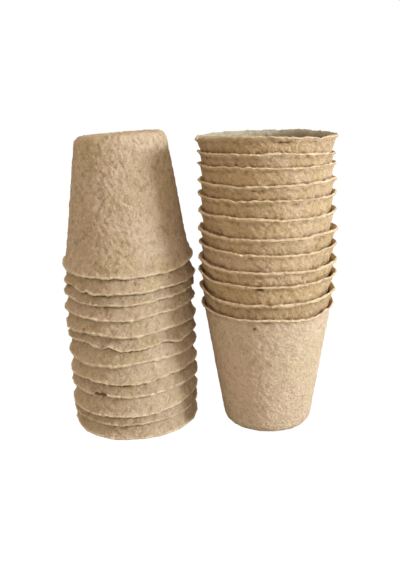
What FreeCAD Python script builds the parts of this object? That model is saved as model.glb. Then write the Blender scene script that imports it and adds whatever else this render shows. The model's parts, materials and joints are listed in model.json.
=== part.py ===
import FreeCAD, Part

import math
import os

import Sketcher

# Two free-standing stacks of moulded peat pots, in millimetres, +Z up.
# The upright stack stands at +X, with each pot seated in the one below it.
# The inverted stack stands at -X, mouths down, with each pot seated over the one below it.
# The origin is on the ground, midway between the two stacks.

SHEET = "Sizes"

# Driving sizes of the pot mould and of the way the stacks stand.
SIZES = {
    "pot_height": 80.0,  # foot to mouth
    "mouth_diameter": 80.0,  # outside of the wall, carried up to the mouth
    "base_diameter": 55.2,  # outside of the wall, carried down to the foot
    "heel_radius": 5.5,  # outside corner between foot and wall
    "lip_height": 3.6,  # length of wall, measured upright, that curls out
    "lip_overhang": 1.6,  # how far the lip stands out past the mouth
    "nest_clearance": 0.3,  # gap between two nested walls, square to them
    "stack_gap": 5.2,  # between the lips of the two stacks
    "stack_stagger": 19.1,  # how far the inverted stack stands behind
}

# Wall of each pot, from the ground up. Moulded pulp is uneven, and a thick wall holds its
# neighbour further out, which is why the rims of a stack are unevenly spaced.
UPRIGHT_WALLS = (1.03, 1.40, 0.97, 1.26, 1.01, 1.46, 1.27, 0.95, 1.25, 0.92, 1.04, 1.15)
INVERTED_WALLS = (1.12, 1.03, 0.95, 1.45, 0.95, 1.50, 0.98, 1.38, 1.22, 1.16, 0.93, 1.24)

# How much taller than the mould's nominal height each pot's rim was left.
UPRIGHT_TRIMS = (0.0, 0.0, 0.1, 0.0, 0.1, 0.1, 0.2, 0.2, 0.0, 0.2, -0.4, 0.0)
INVERTED_TRIMS = (0.0, -0.8, 1.1, -0.8, 1.0, -0.9, 0.1, -0.3, -0.2, -0.2, 0.7, 0.0)

HALF_TURN = 180.0
FULL_TURN = 360.0


def pot_names(stack, count):
    """Names of a stack's pots, from the ground up."""
    return [f"{stack}_pot_{number:02d}" for number in range(1, count + 1)]


def make_sheet(doc, walls, trims):
    """Spreadsheet with one aliased cell for each driving size."""
    sheet = doc.addObject("Spreadsheet::Sheet", SHEET)
    rows = dict(SIZES)
    rows.update({f"{pot}_wall": wall for pot, wall in walls.items()})
    rows.update({f"{pot}_trim": trim for pot, trim in trims.items()})
    for row, (alias, value) in enumerate(rows.items(), start=1):
        sheet.set(f"A{row}", alias)
        sheet.set(f"B{row}", str(value))
        sheet.setAlias(f"B{row}", alias)
    doc.recompute()
    return sheet


def cell(alias):
    """The expression that reads one size from the sheet."""
    return f"{SHEET}.{alias}"


def origin_plane(body, role):
    """The body's own origin plane with that role."""
    for feature in body.Origin.OriginFeatures:
        if feature.Role == role:
            return feature
    raise LookupError(f"{body.Label} has no {role}")


def profile_geometry(wall, height):
    """First guess at the half section of a pot, in radius and height, for the sketch solver.

    The list holds foot, heel, outer wall, outer lip, rim, inner lip, inner wall, inner heel,
    floor and axis, in that order, and then two points that set the slope of the wall.
    """
    foot_radius = SIZES["base_diameter"] / 2
    mouth_radius = SIZES["mouth_diameter"] / 2
    slope = (mouth_radius - foot_radius) / SIZES["pot_height"]
    draft = math.atan(slope)
    heel = SIZES["heel_radius"]
    along = FreeCAD.Vector(math.sin(draft), math.cos(draft), 0)
    outward = FreeCAD.Vector(math.cos(draft), -math.sin(draft), 0)

    def on_wall(level):
        return FreeCAD.Vector(foot_radius + slope * level, level, 0)

    heel_centre = on_wall(heel) - FreeCAD.Vector(heel / math.cos(draft), 0, 0)
    wall_foot = heel_centre + outward * heel
    lip_start = on_wall(height - SIZES["lip_height"])
    lip_tip = FreeCAD.Vector(mouth_radius + SIZES["lip_overhang"], height, 0)
    chord = lip_tip - lip_start
    lip_radius = chord.Length**2 / (2 * chord.dot(outward))
    lip_centre = lip_start + outward * lip_radius
    inner_lip_radius = lip_radius + wall
    rise = height - lip_centre.y
    inner_tip = FreeCAD.Vector(lip_centre.x - math.sqrt(inner_lip_radius**2 - rise**2), height, 0)
    inner_lip_start = lip_start - outward * wall
    inner_wall_foot = heel_centre + outward * (heel - wall)
    floor_edge = FreeCAD.Vector(heel_centre.x, wall, 0)
    floor_middle = FreeCAD.Vector(0, wall, 0)
    foot_edge = FreeCAD.Vector(heel_centre.x, 0, 0)
    up = FreeCAD.Vector(0, 0, 1)

    def arc(centre, start, end):
        circle = Part.Circle(centre, up, (start - centre).Length)
        angles = [math.atan2(point.y - centre.y, point.x - centre.x) for point in (start, end)]
        return Part.ArcOfCircle(circle, *angles)

    return [
        Part.LineSegment(FreeCAD.Vector(), foot_edge),
        arc(heel_centre, foot_edge, wall_foot),
        Part.LineSegment(wall_foot, lip_start),
        arc(lip_centre, lip_tip, lip_start),
        Part.LineSegment(lip_tip, inner_tip),
        arc(lip_centre, inner_tip, inner_lip_start),
        Part.LineSegment(inner_lip_start, inner_wall_foot),
        arc(heel_centre, floor_edge, inner_wall_foot),
        Part.LineSegment(floor_edge, floor_middle),
        Part.LineSegment(floor_middle, FreeCAD.Vector()),
        Part.Point(on_wall(0)),
        Part.Point(on_wall(SIZES["pot_height"])),
    ]


def draw_profile(body, pot, wall, trim):
    """Sketch of the pot's half section, fully bound to the sheet."""
    sketch = body.newObject("Sketcher::SketchObject", f"{pot}_section")
    sketch.AttachmentSupport = (origin_plane(body, "XZ_Plane"), [""])
    sketch.MapMode = "FlatFace"
    geometry = profile_geometry(wall, SIZES["pot_height"] + trim)
    (foot, heel, outer_wall, outer_lip, rim, inner_lip, inner_wall, inner_heel, floor, axis,
     low_point, high_point) = [sketch.addGeometry(item, False) for item in geometry]
    for point in (low_point, high_point):
        sketch.setConstruction(point, True)
    start, end, centre = 1, 2, 3
    ground, root = -1, (-1, 1)
    joined = Sketcher.Constraint
    sketch.addConstraint([
        joined("Tangent", foot, end, heel, start),
        joined("Tangent", heel, end, outer_wall, start),
        joined("Tangent", outer_wall, end, outer_lip, end),
        joined("Coincident", outer_lip, start, rim, start),
        joined("Coincident", rim, end, inner_lip, start),
        joined("Tangent", inner_lip, end, inner_wall, start),
        joined("Tangent", inner_wall, end, inner_heel, end),
        joined("Tangent", inner_heel, start, floor, start),
        joined("Coincident", floor, end, axis, start),
        joined("Coincident", axis, end, foot, start),
        joined("Coincident", foot, start, *root),
        joined("Coincident", outer_lip, centre, inner_lip, centre),
        joined("Coincident", heel, centre, inner_heel, centre),
        joined("Horizontal", foot),
        joined("Horizontal", rim),
        joined("Horizontal", floor),
        joined("Vertical", axis),
        joined("Parallel", outer_wall, inner_wall),
        joined("PointOnObject", low_point, start, ground),
        joined("PointOnObject", low_point, start, outer_wall),
        joined("PointOnObject", high_point, start, outer_wall),
    ])
    sizes = {
        "foot_reach": (("DistanceX", *root, low_point, start), f"{cell('base_diameter')} / 2"),
        "mouth_reach": (("DistanceX", *root, high_point, start), f"{cell('mouth_diameter')} / 2"),
        "mouth_level": (("DistanceY", *root, high_point, start), cell("pot_height")),
        "rim_level": (("DistanceY", *root, rim, start), f"{cell('pot_height')} + {cell(pot + '_trim')}"),
        "lip_reach": (
            ("DistanceX", *root, rim, start),
            f"{cell('mouth_diameter')} / 2 + {cell('lip_overhang')}",
        ),
        "lip_rise": (("DistanceY", outer_wall, end, rim, start), cell("lip_height")),
        "heel_round": (("Radius", heel), cell("heel_radius")),
        "inner_heel_round": (("Radius", inner_heel), f"{cell('heel_radius')} - {cell(pot + '_wall')}"),
    }
    for name, (drawn, expression) in sizes.items():
        index = sketch.addConstraint(joined(*drawn, measure(geometry, drawn)))
        sketch.renameConstraint(index, name)
        sketch.setExpression(f"Constraints.{name}", expression)
    return sketch


def measure(geometry, drawn):
    """The size that a constraint has in the first guess, so that the solver starts solved."""
    kind = drawn[0]
    if kind == "Radius":
        return geometry[drawn[1]].Radius

    def point(item, place):
        if item < 0:
            return FreeCAD.Vector()
        shape = geometry[item]
        if isinstance(shape, Part.Point):
            return FreeCAD.Vector(shape.X, shape.Y, shape.Z)
        return shape.StartPoint if place == 1 else shape.EndPoint

    step = point(*drawn[3:5]) - point(*drawn[1:3])
    return step.x if kind == "DistanceX" else step.y


def build_pot(doc, pot, wall, trim):
    """One pot: its half section turned about its axis, standing on its foot at its own origin."""
    body = doc.addObject("PartDesign::Body", pot)
    body.Label = pot
    sketch = draw_profile(body, pot, wall, trim)
    shell = body.newObject("PartDesign::Revolution", f"{pot}_shell")
    shell.Profile = sketch
    shell.ReferenceAxis = (sketch, ["V_Axis"])
    shell.Angle = FULL_TURN
    sketch.Visibility = False
    return body


def nest_step(wall_alias):
    """How much higher a pot seats for a wall of that thickness between it and its neighbour."""
    slope = f"({cell('mouth_diameter')} - {cell('base_diameter')}) / 2 / {cell('pot_height')}"
    return f"({cell(wall_alias)} + {cell('nest_clearance')}) / sin(atan({slope})) * 1 mm"


def place_stack(bodies, inverted):
    """Seats a stack's pots on each other, from the ground up, and stands the stack in its place."""
    side = "-" if inverted else ""
    spacing = f"{cell('mouth_diameter')} + 2 * {cell('lip_overhang')} + {cell('stack_gap')}"
    across = f"{side}sqrt(({spacing})^2 - {cell('stack_stagger')}^2) / 2"
    deep = f"{'' if inverted else '-'}{cell('stack_stagger')} / 2"
    turn = FreeCAD.Rotation(FreeCAD.Vector(1, 0, 0), HALF_TURN if inverted else 0)
    below = None
    for body in bodies:
        body.Placement = FreeCAD.Placement(FreeCAD.Vector(), turn)
        if below is None:
            seat = f"{cell('pot_height')} + {cell(body.Label + '_trim')}" if inverted else None
        else:
            parting = body if inverted else below
            seat = f"{below.Name}.Placement.Base.z + {nest_step(parting.Label + '_wall')}"
        body.setExpression("Placement.Base.x", across)
        body.setExpression("Placement.Base.y", deep)
        if seat:
            body.setExpression("Placement.Base.z", seat)
        below = body


def check(doc, bodies):
    """Stops if anything failed to recompute or a pot isn't one sound closed solid."""
    failed = [item.Label for item in doc.Objects if {"Invalid", "Error"} & set(item.State)]
    if failed:
        raise RuntimeError(f"failed to recompute: {failed}")
    for body in bodies:
        shape = body.Shape
        if shape.isNull() or not shape.isValid() or len(shape.Solids) != 1:
            raise RuntimeError(f"{body.Label} isn't one valid solid")
        if not body.Group[0].FullyConstrained:
            raise RuntimeError(f"{body.Label} has a loose sketch")


def main():
    doc = FreeCAD.newDocument("peat_pots")
    stacks = {
        "upright": (UPRIGHT_WALLS, UPRIGHT_TRIMS),
        "inverted": (INVERTED_WALLS, INVERTED_TRIMS),
    }
    names = {stack: pot_names(stack, len(walls)) for stack, (walls, _) in stacks.items()}
    walls = {pot: wall for stack in stacks for pot, wall in zip(names[stack], stacks[stack][0])}
    trims = {pot: trim for stack in stacks for pot, trim in zip(names[stack], stacks[stack][1])}
    make_sheet(doc, walls, trims)
    bodies = []
    for stack in stacks:
        pots = [build_pot(doc, pot, walls[pot], trims[pot]) for pot in names[stack]]
        place_stack(pots, inverted=stack == "inverted")
        bodies += pots
    doc.recompute()
    check(doc, bodies)

    os.makedirs("parts", exist_ok=True)
    for body in bodies:
        body.Shape.exportStep(f"parts/{body.Label}.step")
        box = body.Shape.BoundBox
        print(f"{body.Label}: z {box.ZMin:.2f} to {box.ZMax:.2f}, {body.Shape.Volume:.0f} mm3")


main()
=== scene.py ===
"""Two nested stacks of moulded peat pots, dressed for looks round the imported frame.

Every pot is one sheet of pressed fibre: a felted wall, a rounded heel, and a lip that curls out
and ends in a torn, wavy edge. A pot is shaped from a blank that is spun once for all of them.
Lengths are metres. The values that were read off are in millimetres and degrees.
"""

import json
import logging
import math
from collections.abc import Callable
from dataclasses import dataclass
from enum import Enum

import bmesh
import bpy
import numpy as np
from mathutils import Euler, Matrix, Vector


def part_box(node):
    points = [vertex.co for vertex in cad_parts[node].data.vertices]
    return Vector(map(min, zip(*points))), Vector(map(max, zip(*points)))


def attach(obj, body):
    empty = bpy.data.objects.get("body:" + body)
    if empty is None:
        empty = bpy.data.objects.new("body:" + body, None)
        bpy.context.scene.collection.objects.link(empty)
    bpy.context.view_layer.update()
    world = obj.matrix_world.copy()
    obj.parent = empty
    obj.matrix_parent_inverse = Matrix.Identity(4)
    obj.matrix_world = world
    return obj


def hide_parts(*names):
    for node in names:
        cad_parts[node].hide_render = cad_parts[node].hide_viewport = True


MM = 0.001
LOG = logging.getLogger("peat_pots")

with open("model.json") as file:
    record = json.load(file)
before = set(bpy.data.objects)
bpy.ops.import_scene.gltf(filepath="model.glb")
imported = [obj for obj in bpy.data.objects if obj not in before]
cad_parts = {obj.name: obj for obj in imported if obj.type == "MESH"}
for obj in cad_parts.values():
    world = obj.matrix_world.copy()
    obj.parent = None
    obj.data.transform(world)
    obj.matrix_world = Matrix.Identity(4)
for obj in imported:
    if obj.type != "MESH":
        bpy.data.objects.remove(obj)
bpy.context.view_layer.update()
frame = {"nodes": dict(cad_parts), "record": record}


class Stack(Enum):
    """The two stacks, named as their nodes are."""

    UPRIGHT = "upright"
    INVERTED = "inverted"

    def axis(self) -> np.ndarray:
        """Where the stack's axis stands on the ground.

        Returns:
            Its x and y in metres, read from the mount on that axis.
        """
        wanted = "upright_foot" if self is Stack.UPRIGHT else "inverted_top"
        mounts = frame["record"]["mounts"]
        return np.array(next(mount["pos_m"][:2] for mount in mounts if mount["name"] == wanted))


@dataclass(frozen=True)
class Mould:
    """Sizes that the one mould gives every pot, in metres, with the pot on its foot.

    Edge round share is the rounding of the torn edge's corners as a share of its thickness, and
    bend share is the rounding of the bend under the lip as a share of the lip's length.
    """

    height: float = 80.0 * MM
    mouth_radius: float = 40.0 * MM
    foot_radius: float = 27.6 * MM
    heel_round: float = 5.5 * MM
    lip_reach: float = 1.6 * MM
    lip_angle: float = math.radians(60.0)
    edge_drop: float = 0.75 * MM
    edge_thickness: float = 1.35 * MM
    edge_round_share: float = 0.24
    bend_share: float = 0.92
    lip_zone: float = 4.2 * MM
    sheet: float = 1.2 * MM
    nest_clearance: float = 0.3 * MM
    felt_allowance: float = 0.1 * MM
    band: float = 16.0 * MM

    @property
    def slope(self) -> float:
        """How far the wall leans out for each metre of height."""
        return (self.mouth_radius - self.foot_radius) / self.height

    @property
    def draft(self) -> float:
        """The wall's lean from upright, in radians."""
        return math.atan(self.slope)

    def outline(self) -> list[tuple[float, float, float]]:
        """Corners of the half section with the round that each one takes.

        Returns:
            Radius, height and rounding offset of each corner, from the foot's middle round the
            lip to the floor's middle.
        """
        along = Vector((math.sin(self.lip_angle), math.cos(self.lip_angle)))
        across = Vector((-along.y, along.x))
        low_edge = Vector((self.mouth_radius + self.lip_reach, self.height - self.edge_drop))
        high_edge = low_edge + across * self.edge_thickness
        skin = self.sheet / math.cos(self.draft)

        def bend(tip: Vector, setback: float) -> Vector:
            """Where the lip's line through a tip meets the wall set back by some thickness."""
            reach = tip.x - self.foot_radius - self.slope * tip.y + setback
            return tip - along * (reach / (along.x - self.slope * along.y))

        outer_bend = bend(low_edge, 0.0)
        inner_bend = bend(high_edge, skin)
        half_turn = (math.pi / 2 - self.draft) / 2
        inner_foot = self.foot_radius + self.slope * self.sheet - skin
        soft_edge = self.edge_round_share * self.edge_thickness
        return [
            (0.0, 0.0, 0.0),
            (self.foot_radius, 0.0, self.heel_round * math.tan(half_turn)),
            (*outer_bend, (low_edge - outer_bend).length * self.bend_share),
            (*low_edge, soft_edge),
            (*high_edge, soft_edge),
            (*inner_bend, (high_edge - inner_bend).length * self.bend_share),
            (inner_foot, self.sheet, (self.heel_round - self.sheet) * math.tan(half_turn)),
            (0.0, self.sheet, 0.0),
        ]


@dataclass(frozen=True)
class Fineness:
    """How finely a blank is divided: steps round it, and row heights in metres."""

    eighth_steps: int
    band_row: float
    wall_row: float
    inner_band_row: float
    inner_wall_row: float
    round_segments: int = 6

    def row(self, mould: Mould, height: float, inside: bool) -> float:
        """The row height wanted at one place on the wall.

        Args:
            mould: Sizes of the outline.
            height: How far up the pot the place is.
            inside: Whether it is on the inner face.

        Returns:
            The row height in metres.
        """
        in_band = height > mould.height - mould.band
        if inside:
            return self.inner_band_row if in_band else self.inner_wall_row
        return self.band_row if in_band else self.wall_row


class Blank:
    """A pot of nominal size as a mesh, with its arrays, ready to be shaped into single pots.

    Weld is how close together two points are made one, in metres. Floor sheets is how many
    thicknesses up from the ground still count as the floor.
    """

    EIGHTH = math.tau / 8
    WELD = 1e-6
    FLOOR_SHEETS = 1.5

    def __init__(self, mould: Mould, fineness: Fineness, name: str) -> None:
        """Spins the outline and reads the arrays that every pot starts from.

        Args:
            mould: Sizes of the outline.
            fineness: How finely it is divided.
            name: Name of the mesh.
        """
        self.mould = mould
        self.fineness = fineness
        self.mesh = self._spin(name)
        count = len(self.mesh.vertices)
        self.places = self._read("co", 3, self.mesh.vertices, count)
        self.normals = self._read("normal", 3, self.mesh.vertices, count)
        self.inside = self._read("value", 1, self.mesh.attributes["inside"].data, count)
        self.lip = self._read("value", 1, self.mesh.attributes["lip"].data, count)
        self.mesh.attributes.remove(self.mesh.attributes["inside"])
        self.mesh.attributes.remove(self.mesh.attributes["lip"])

    @staticmethod
    def _read(
        attribute: str, width: int, data: bpy.types.bpy_prop_collection, count: int
    ) -> np.ndarray:
        """One attribute of every vertex as an array.

        Args:
            attribute: What is read from each item.
            width: How many numbers each item holds.
            data: The items.
            count: How many items there are.

        Returns:
            One row for each item, or one number where the width is 1.
        """
        values = np.empty(count * width)
        data.foreach_get(attribute, values)
        return values.reshape(-1, width) if width > 1 else values

    def _spin(self, name: str) -> bpy.types.Mesh:
        """Draws the half section, spins an eighth of the pot and doubles it three times.

        Args:
            name: Name of the mesh.

        Returns:
            The closed mesh, with its faces pointing outwards.
        """
        bm = bmesh.new()
        outline = self.mould.outline()
        corners = [bm.verts.new((radius, 0.0, height)) for radius, height, _ in outline]
        for pair in zip(corners, corners[1:]):
            bm.edges.new(pair)
        self._round(bm, corners, outline)
        self._divide(bm)
        self._measure(bm)
        bmesh.ops.spin(
            bm, geom=bm.verts[:] + bm.edges[:], cent=(0, 0, 0), axis=(0, 0, 1), dvec=(0, 0, 0),
            angle=self.EIGHTH, steps=self.fineness.eighth_steps, use_merge=False,
            use_normal_flip=False, use_duplicate=False,
        )
        turned = self.EIGHTH
        while turned < math.tau - self.WELD:
            copy = bmesh.ops.duplicate(bm, geom=bm.verts[:] + bm.edges[:] + bm.faces[:])["geom"]
            moved = [item for item in copy if isinstance(item, bmesh.types.BMVert)]
            bmesh.ops.rotate(bm, verts=moved, cent=(0, 0, 0), matrix=Matrix.Rotation(turned, 3, "Z"))
            turned *= 2
        bmesh.ops.remove_doubles(bm, verts=bm.verts, dist=self.WELD)
        bmesh.ops.recalc_face_normals(bm, faces=bm.faces)
        # The spin makes its faces in another order each run, so they are put in a fixed one.
        bm.verts.index_update()
        count = len(bm.verts)
        bm.faces.sort(key=lambda face: face.verts[0].index * count + face.verts[-1].index)
        mesh = bpy.data.meshes.new(name)
        bm.to_mesh(mesh)
        bm.free()
        mesh.shade_smooth()
        return mesh

    def _round(
        self, bm: bmesh.types.BMesh, corners: list[bmesh.types.BMVert],
        outline: list[tuple[float, float, float]],
    ) -> None:
        """Rounds each corner of the wire by its own offset.

        Args:
            bm: The wire of the half section.
            corners: Its corners, in order.
            outline: Radius, height and rounding offset of each corner.
        """
        for corner, (_, _, offset) in zip(corners, outline):
            if offset:
                bmesh.ops.bevel(
                    bm, geom=[corner], offset=offset, offset_type="OFFSET", affect="VERTICES",
                    segments=self.fineness.round_segments, profile=0.5, clamp_overlap=False,
                    material=-1,
                )

    def _divide(self, bm: bmesh.types.BMesh) -> None:
        """Cuts the wire's long edges into rows, close together near the lip.

        Args:
            bm: The wire of the half section.
        """
        mould = self.mould
        split = mould.height - mould.band
        for edge in list(bm.edges):
            low, high = sorted(edge.verts, key=lambda vert: vert.co.z)
            if low.co.z < split < high.co.z:
                share = (split - low.co.z) / (high.co.z - low.co.z)
                bmesh.utils.edge_split(edge, low, share)
        for edge in list(bm.edges):
            middle = (edge.verts[0].co + edge.verts[1].co) / 2
            skin = mould.foot_radius + mould.slope * middle.z - middle.x
            floor = middle.z < mould.sheet * self.FLOOR_SHEETS
            inside = middle.z > mould.sheet / 2 if floor else skin > mould.sheet / 2
            wanted = self.fineness.row(mould, middle.z, inside)
            cuts = math.ceil(edge.calc_length() / wanted) - 1
            if cuts > 0:
                bmesh.ops.subdivide_edges(bm, edges=[edge], cuts=cuts)

    def _measure(self, bm: bmesh.types.BMesh) -> None:
        """Marks each point of the wire as outer or inner face, and how far up the lip it is.

        Args:
            bm: The wire of the half section.
        """
        mould = self.mould
        inside = bm.verts.layers.float.new("inside")
        lip = bm.verts.layers.float.new("lip")
        start = mould.height - mould.edge_drop - mould.lip_zone
        bm.verts.ensure_lookup_table()
        vert = next(vert for vert in bm.verts if vert.co.length < self.WELD)
        walk = [vert]
        while True:
            ahead = [edge.other_vert(vert) for edge in vert.link_edges]
            ahead = [other for other in ahead if len(walk) < 2 or other is not walk[-2]]
            if not ahead:
                break
            vert = ahead[0]
            walk.append(vert)
        tip = max(range(len(walk)), key=lambda step: walk[step].co.x)
        top = max(range(len(walk)), key=lambda step: walk[step].co.z)
        for step, vert in enumerate(walk):
            vert[inside] = min(max((step - tip) / max(top - tip, 1), 0.0), 1.0)
            vert[lip] = min(max((vert.co.z - start) / mould.lip_zone, 0.0), 1.0)


def ease(value: np.ndarray) -> np.ndarray:
    """Smooth step from 0 to 1, flat outside."""
    value = np.clip(value, 0.0, 1.0)
    return value * value * (3.0 - 2.0 * value)


class Pulp:
    """Seeded smooth noise, in space and round a rim."""

    SIDE = 24
    FLAKE_START = -0.12
    FLAKE_WIDTH = 0.26

    def __init__(self, seed: int) -> None:
        """Draws one lattice that every scale of the noise reads, each from another corner."""
        self.random = np.random.default_rng(seed)
        self.lattice = self.random.uniform(-1.0, 1.0, (self.SIDE,) * 3)

    def lumps(self, places: np.ndarray, cell: float) -> np.ndarray:
        """Noise from -1 to 1 at each place, with lumps about as large as a cell.

        Args:
            places: Points in metres.
            cell: Side of a cell in metres.

        Returns:
            The noise at each point.
        """
        grid = places / cell + self.random.uniform(0.0, self.SIDE, 3)
        low = np.floor(grid).astype(int)
        share = ease(grid - low)
        total = np.zeros(len(places))
        for corner in range(8):
            step = np.array([corner >> axis & 1 for axis in range(3)])
            weight = np.prod(np.where(step, share, 1.0 - share), axis=1)
            x, y, z = ((low + step) % self.SIDE).T
            total += weight * self.lattice[x, y, z]
        return total

    def flakes(self, places: np.ndarray, cell: float) -> np.ndarray:
        """Flat flakes from -1 to 1 with short steep borders, as torn pulp dries."""
        return 2.0 * ease((self.lumps(places, cell) - self.FLAKE_START) / self.FLAKE_WIDTH) - 1.0

    def wave(self, turn: np.ndarray, count: int) -> np.ndarray:
        """Noise from -1 to 1 round a rim.

        Args:
            turn: Places round the rim, in full turns.
            count: How many swings a full turn has.

        Returns:
            The noise at each place.
        """
        swings = self.random.uniform(-1.0, 1.0, count)
        grid = np.mod(turn, 1.0) * count
        low = np.floor(grid).astype(int)
        share = ease(grid - low)
        return swings[low % count] * (1.0 - share) + swings[(low + 1) % count] * share

    def waves(self, turn: np.ndarray, heights: dict[int, float]) -> np.ndarray:
        """Waves round a rim added up, each listed as its number of swings and its height."""
        return sum(height * self.wave(turn, count) for count, height in heights.items())


def slanted(places: np.ndarray, lean: float, stretch: float = 3.2) -> np.ndarray:
    """Coordinates in which noise comes out as streaks that wind round the wall.

    Args:
        places: Points about a pot's axis.
        lean: How far the streaks lean from upright, as sideways over up.
        stretch: How much longer than wide the streaks are.

    Returns:
        The points, twisted about the axis and squeezed upright.
    """
    turn = lean * places[:, 2] / Mould.mouth_radius
    across = places[:, 0] * np.cos(turn) - places[:, 1] * np.sin(turn)
    deep = places[:, 0] * np.sin(turn) + places[:, 1] * np.cos(turn)
    return np.stack([across, deep, places[:, 2] / stretch], axis=1)


@dataclass(frozen=True)
class Rim:
    """How far a rim stands above its even height on the side that shows, read every 15 degrees.

    The readings run from the left edge (-90) past the front (0) to the right edge (90), in
    millimetres. Trim is how much taller the pot is than its mould. Waves are narrower swings on
    top: angle, half width in degrees, and rise. Flares push the lip out at the left and right.
    Back is the mean rise of the side away from the front, where that side shows. Ragged is how
    torn the edge is beside the other rims.
    """

    rises: tuple[float, ...]
    trim: float = 0.0
    waves: tuple[tuple[float, float, float], ...] = ()
    flares: tuple[float, float] = (0.0, 0.0)
    back: float | None = None
    ragged: float = 1.0

    FIRST = -90.0
    STEP = 15.0
    HIDDEN = 11
    HIDDEN_SWING = 0.9
    SEEN_SWING = 0.25
    FLARE_GAIN = 2.2

    def height(self, angle: np.ndarray, pulp: Pulp) -> np.ndarray:
        """The rise of the rim, carried on round the back.

        Args:
            angle: Places round the rim, in radians from the front.
            pulp: Noise for the side that is hidden.

        Returns:
            The rise at each angle, in metres.
        """
        loose = self.HIDDEN_SWING if self.back is None else self.SEEN_SWING
        middle = (self.rises[0] + self.rises[-1]) / 2 if self.back is None else self.back
        hidden = middle + loose * pulp.random.uniform(-1.0, 1.0, self.HIDDEN)
        blend = np.abs(np.linspace(-1.0, 1.0, self.HIDDEN + 2)[1:-1]) ** 2
        near = np.where(np.arange(self.HIDDEN) * 2 < self.HIDDEN, self.rises[-1], self.rises[0])
        knots = np.concatenate([self.rises, hidden * (1 - blend) + near * blend])
        grid = np.mod((np.degrees(angle) - self.FIRST) / self.STEP, len(knots))
        low = np.floor(grid).astype(int)
        share = grid - low
        before, start, end, after = (knots[(low + step) % len(knots)] for step in (-1, 0, 1, 2))
        bend = share * (share * (share * (3 * (start - end) + after - before)
                                 + 2 * before - 5 * start + 4 * end - after) + end - before)
        rise = start + bend / 2
        for place, half_width, swing in self.waves:
            rise = rise + swing * np.exp(-((np.degrees(angle) - place) / half_width) ** 2)
        return rise * MM

    def flare(self, angle: np.ndarray) -> np.ndarray:
        """The outward push of the lip at its left and right.

        Args:
            angle: Places round the rim, in radians from the front.

        Returns:
            The push at each angle, in metres.
        """
        left, right = self.flares
        side = np.sin(angle) * self.FLARE_GAIN
        return (left * ease(-side - 1.0) + right * ease(side - 1.0)) * MM


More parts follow.
